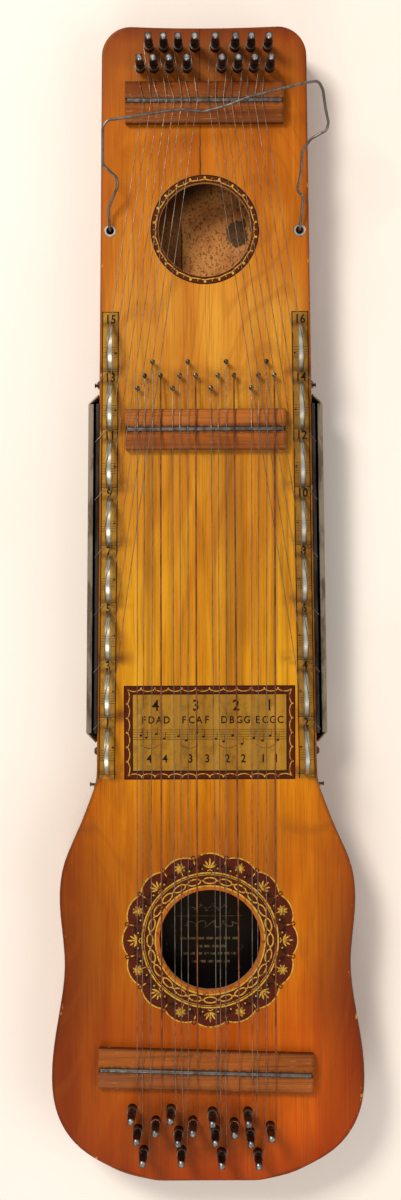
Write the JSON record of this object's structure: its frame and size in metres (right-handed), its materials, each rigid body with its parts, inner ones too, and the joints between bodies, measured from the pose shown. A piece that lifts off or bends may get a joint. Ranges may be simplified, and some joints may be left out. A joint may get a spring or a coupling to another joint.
{
  "type": "chorded zither",
  "caption": "Long hollow zither with a wide rounded tail, melody strings fanned to bow guides on both edges, chord strings down the middle and turning pins at both ends.",
  "frame": {"origin": "under the middle of the body, on the surface it lies on", "axes": "+Z is the soundboard's normal, +Y points to the head end with the melody pins, +X to the right seen from above"},
  "size_m": [0.1888, 0.6891, 0.0628],
  "materials": {
    "soundboard_wood": "gloss varnish, amber with dark shaded edges",
    "back_wood": "dark stain",
    "rib_wood": "dark red-brown gloss varnish",
    "inner_wood": "bare wood",
    "bridge_wood": "red-brown varnish",
    "rod_steel": "satin",
    "guide_nickel": "dulled nickel plate",
    "guard_steel": "tarnished plate",
    "rail_steel": "dull",
    "screw_steel": "dull",
    "hitch_steel": "oxidised",
    "eyelet_nickel": "dulled nickel plate",
    "wire_steel": "satin",
    "string_steel": "satin",
    "wound_string": "dull copper winding",
    "pin_steel": "blued, worn bright at the heads"
  },
  "bodies": {
    "root": {"soundboard": "soundboard_wood", "back_board": "back_wood", "rim_left": "rib_wood", "rim_right": "rib_wood", "head_block": "inner_wood", "tail_block": "inner_wood", "hitch_block": "inner_wood", "back_braces": "inner_wood", "head_bridge": "bridge_wood", "middle_bridge": "bridge_wood", "tail_bridge": "bridge_wood", "head_bridge_rod": "rod_steel", "middle_bridge_rod": "rod_steel", "tail_bridge_rod": "rod_steel", "bow_guides_left": "guide_nickel", "bow_guides_right": "guide_nickel", "side_guard_left": "guard_steel", "side_guard_right": "guard_steel", "hitch_rail_left": "rail_steel", "hitch_rail_right": "rail_steel", "guard_screws": "screw_steel", "chord_hitch_pins": "hitch_steel", "melody_hitch_pins": "hitch_steel", "eyelets": "eyelet_nickel", "melody_strings": "string_steel", "chord_strings": "string_steel", "bass_strings": "wound_string"},
    "music_wire": {"music_wire": "wire_steel"},
    "melody_pin_1": {"melody_pin_1": "pin_steel"},
    "melody_pin_2": {"melody_pin_2": "pin_steel"},
    "melody_pin_3": {"melody_pin_3": "pin_steel"},
    "melody_pin_4": {"melody_pin_4": "pin_steel"},
    "melody_pin_5": {"melody_pin_5": "pin_steel"},
    "melody_pin_6": {"melody_pin_6": "pin_steel"},
    "melody_pin_7": {"melody_pin_7": "pin_steel"},
    "melody_pin_8": {"melody_pin_8": "pin_steel"},
    "melody_pin_9": {"melody_pin_9": "pin_steel"},
    "melody_pin_10": {"melody_pin_10": "pin_steel"},
    "melody_pin_11": {"melody_pin_11": "pin_steel"},
    "melody_pin_12": {"melody_pin_12": "pin_steel"},
    "melody_pin_13": {"melody_pin_13": "pin_steel"},
    "melody_pin_14": {"melody_pin_14": "pin_steel"},
    "melody_pin_15": {"melody_pin_15": "pin_steel"},
    "melody_pin_16": {"melody_pin_16": "pin_steel"},
    "chord_pin_1": {"chord_pin_1": "pin_steel"},
    "chord_pin_2": {"chord_pin_2": "pin_steel"},
    "chord_pin_3": {"chord_pin_3": "pin_steel"},
    "chord_pin_4": {"chord_pin_4": "pin_steel"},
    "chord_pin_5": {"chord_pin_5": "pin_steel"},
    "chord_pin_6": {"chord_pin_6": "pin_steel"},
    "chord_pin_7": {"chord_pin_7": "pin_steel"},
    "chord_pin_8": {"chord_pin_8": "pin_steel"},
    "chord_pin_9": {"chord_pin_9": "pin_steel"},
    "chord_pin_10": {"chord_pin_10": "pin_steel"},
    "chord_pin_11": {"chord_pin_11": "pin_steel"},
    "chord_pin_12": {"chord_pin_12": "pin_steel"},
    "chord_pin_13": {"chord_pin_13": "pin_steel"},
    "chord_pin_14": {"chord_pin_14": "pin_steel"},
    "chord_pin_15": {"chord_pin_15": "pin_steel"},
    "chord_pin_16": {"chord_pin_16": "pin_steel"}
  },
  "joints": [
    {"name": "melody_pin_1_turn", "type": "hinge", "parent": "root", "child": "melody_pin_1", "pos_m": [-0.0055, 0.3319, 0.038], "axis": [0, 0, 1], "continuous": true},
    {"name": "melody_pin_2_turn", "type": "hinge", "parent": "root", "child": "melody_pin_2", "pos_m": [0.0064, 0.3319, 0.038], "axis": [0, 0, 1], "continuous": true},
    {"name": "melody_pin_3_turn", "type": "hinge", "parent": "root", "child": "melody_pin_3", "pos_m": [-0.0102, 0.3199, 0.038], "axis": [0, 0, 1], "continuous": true},
    {"name": "melody_pin_4_turn", "type": "hinge", "parent": "root", "child": "melody_pin_4", "pos_m": [0.0101, 0.3199, 0.038], "axis": [0, 0, 1], "continuous": true},
    {"name": "melody_pin_5_turn", "type": "hinge", "parent": "root", "child": "melody_pin_5", "pos_m": [-0.0151, 0.3319, 0.038], "axis": [0, 0, 1], "continuous": true},
    {"name": "melody_pin_6_turn", "type": "hinge", "parent": "root", "child": "melody_pin_6", "pos_m": [0.018, 0.3319, 0.038], "axis": [0, 0, 1], "continuous": true},
    {"name": "melody_pin_7_turn", "type": "hinge", "parent": "root", "child": "melody_pin_7", "pos_m": [-0.0204, 0.3199, 0.038], "axis": [0, 0, 1], "continuous": true},
    {"name": "melody_pin_8_turn", "type": "hinge", "parent": "root", "child": "melody_pin_8", "pos_m": [0.0195, 0.3199, 0.038], "axis": [0, 0, 1], "continuous": true},
    {"name": "melody_pin_9_turn", "type": "hinge", "parent": "root", "child": "melody_pin_9", "pos_m": [-0.0236, 0.3319, 0.038], "axis": [0, 0, 1], "continuous": true},
    {"name": "melody_pin_10_turn", "type": "hinge", "parent": "root", "child": "melody_pin_10", "pos_m": [0.0272, 0.3319, 0.038], "axis": [0, 0, 1], "continuous": true},
    {"name": "melody_pin_11_turn", "type": "hinge", "parent": "root", "child": "melody_pin_11", "pos_m": [-0.0295, 0.3199, 0.038], "axis": [0, 0, 1], "continuous": true},
    {"name": "melody_pin_12_turn", "type": "hinge", "parent": "root", "child": "melody_pin_12", "pos_m": [0.029, 0.3199, 0.038], "axis": [0, 0, 1], "continuous": true},
    {"name": "melody_pin_13_turn", "type": "hinge", "parent": "root", "child": "melody_pin_13", "pos_m": [-0.0323, 0.3319, 0.038], "axis": [0, 0, 1], "continuous": true},
    {"name": "melody_pin_14_turn", "type": "hinge", "parent": "root", "child": "melody_pin_14", "pos_m": [0.0372, 0.3319, 0.038], "axis": [0, 0, 1], "continuous": true},
    {"name": "melody_pin_15_turn", "type": "hinge", "parent": "root", "child": "melody_pin_15", "pos_m": [-0.0375, 0.3199, 0.038], "axis": [0, 0, 1], "continuous": true},
    {"name": "melody_pin_16_turn", "type": "hinge", "parent": "root", "child": "melody_pin_16", "pos_m": [0.0384, 0.3199, 0.038], "axis": [0, 0, 1], "continuous": true},
    {"name": "chord_pin_1_turn", "type": "hinge", "parent": "root", "child": "chord_pin_1", "pos_m": [-0.0458, -0.2996, 0.038], "axis": [0, 0, 1], "continuous": true},
    {"name": "chord_pin_2_turn", "type": "hinge", "parent": "root", "child": "chord_pin_2", "pos_m": [-0.0426, -0.3119, 0.038], "axis": [0, 0, 1], "continuous": true},
    {"name": "chord_pin_3_turn", "type": "hinge", "parent": "root", "child": "chord_pin_3", "pos_m": [-0.0391, -0.3249, 0.038], "axis": [0, 0, 1], "continuous": true},
    {"name": "chord_pin_4_turn", "type": "hinge", "parent": "root", "child": "chord_pin_4", "pos_m": [-0.0316, -0.3069, 0.038], "axis": [0, 0, 1], "continuous": true},
    {"name": "chord_pin_5_turn", "type": "hinge", "parent": "root", "child": "chord_pin_5", "pos_m": [-0.0225, -0.2997, 0.038], "axis": [0, 0, 1], "continuous": true},
    {"name": "chord_pin_6_turn", "type": "hinge", "parent": "root", "child": "chord_pin_6", "pos_m": [-0.018, -0.3131, 0.038], "axis": [0, 0, 1], "continuous": true},
    {"name": "chord_pin_7_turn", "type": "hinge", "parent": "root", "child": "chord_pin_7", "pos_m": [-0.0162, -0.325, 0.038], "axis": [0, 0, 1], "continuous": true},
    {"name": "chord_pin_8_turn", "type": "hinge", "parent": "root", "child": "chord_pin_8", "pos_m": [-0.0093, -0.307, 0.038], "axis": [0, 0, 1], "continuous": true},
    {"name": "chord_pin_9_turn", "type": "hinge", "parent": "root", "child": "chord_pin_9", "pos_m": [0.0024, -0.3015, 0.038], "axis": [0, 0, 1], "continuous": true},
    {"name": "chord_pin_10_turn", "type": "hinge", "parent": "root", "child": "chord_pin_10", "pos_m": [0.0041, -0.3128, 0.038], "axis": [0, 0, 1], "continuous": true},
    {"name": "chord_pin_11_turn", "type": "hinge", "parent": "root", "child": "chord_pin_11", "pos_m": [0.0078, -0.3263, 0.038], "axis": [0, 0, 1], "continuous": true},
    {"name": "chord_pin_12_turn", "type": "hinge", "parent": "root", "child": "chord_pin_12", "pos_m": [0.0155, -0.3081, 0.038], "axis": [0, 0, 1], "continuous": true},
    {"name": "chord_pin_13_turn", "type": "hinge", "parent": "root", "child": "chord_pin_13", "pos_m": [0.0238, -0.3016, 0.038], "axis": [0, 0, 1], "continuous": true},
    {"name": "chord_pin_14_turn", "type": "hinge", "parent": "root", "child": "chord_pin_14", "pos_m": [0.0252, -0.3136, 0.038], "axis": [0, 0, 1], "continuous": true},
    {"name": "chord_pin_15_turn", "type": "hinge", "parent": "root", "child": "chord_pin_15", "pos_m": [0.0298, -0.3267, 0.038], "axis": [0, 0, 1], "continuous": true},
    {"name": "chord_pin_16_turn", "type": "hinge", "parent": "root", "child": "chord_pin_16", "pos_m": [0.0374, -0.3104, 0.038], "axis": [0, 0, 1], "continuous": true},
    {"name": "music_wire_lift", "type": "slide", "parent": "root", "child": "music_wire", "axis": [0, 0, 1], "range_m": [0, 0.03]}
  ]
}
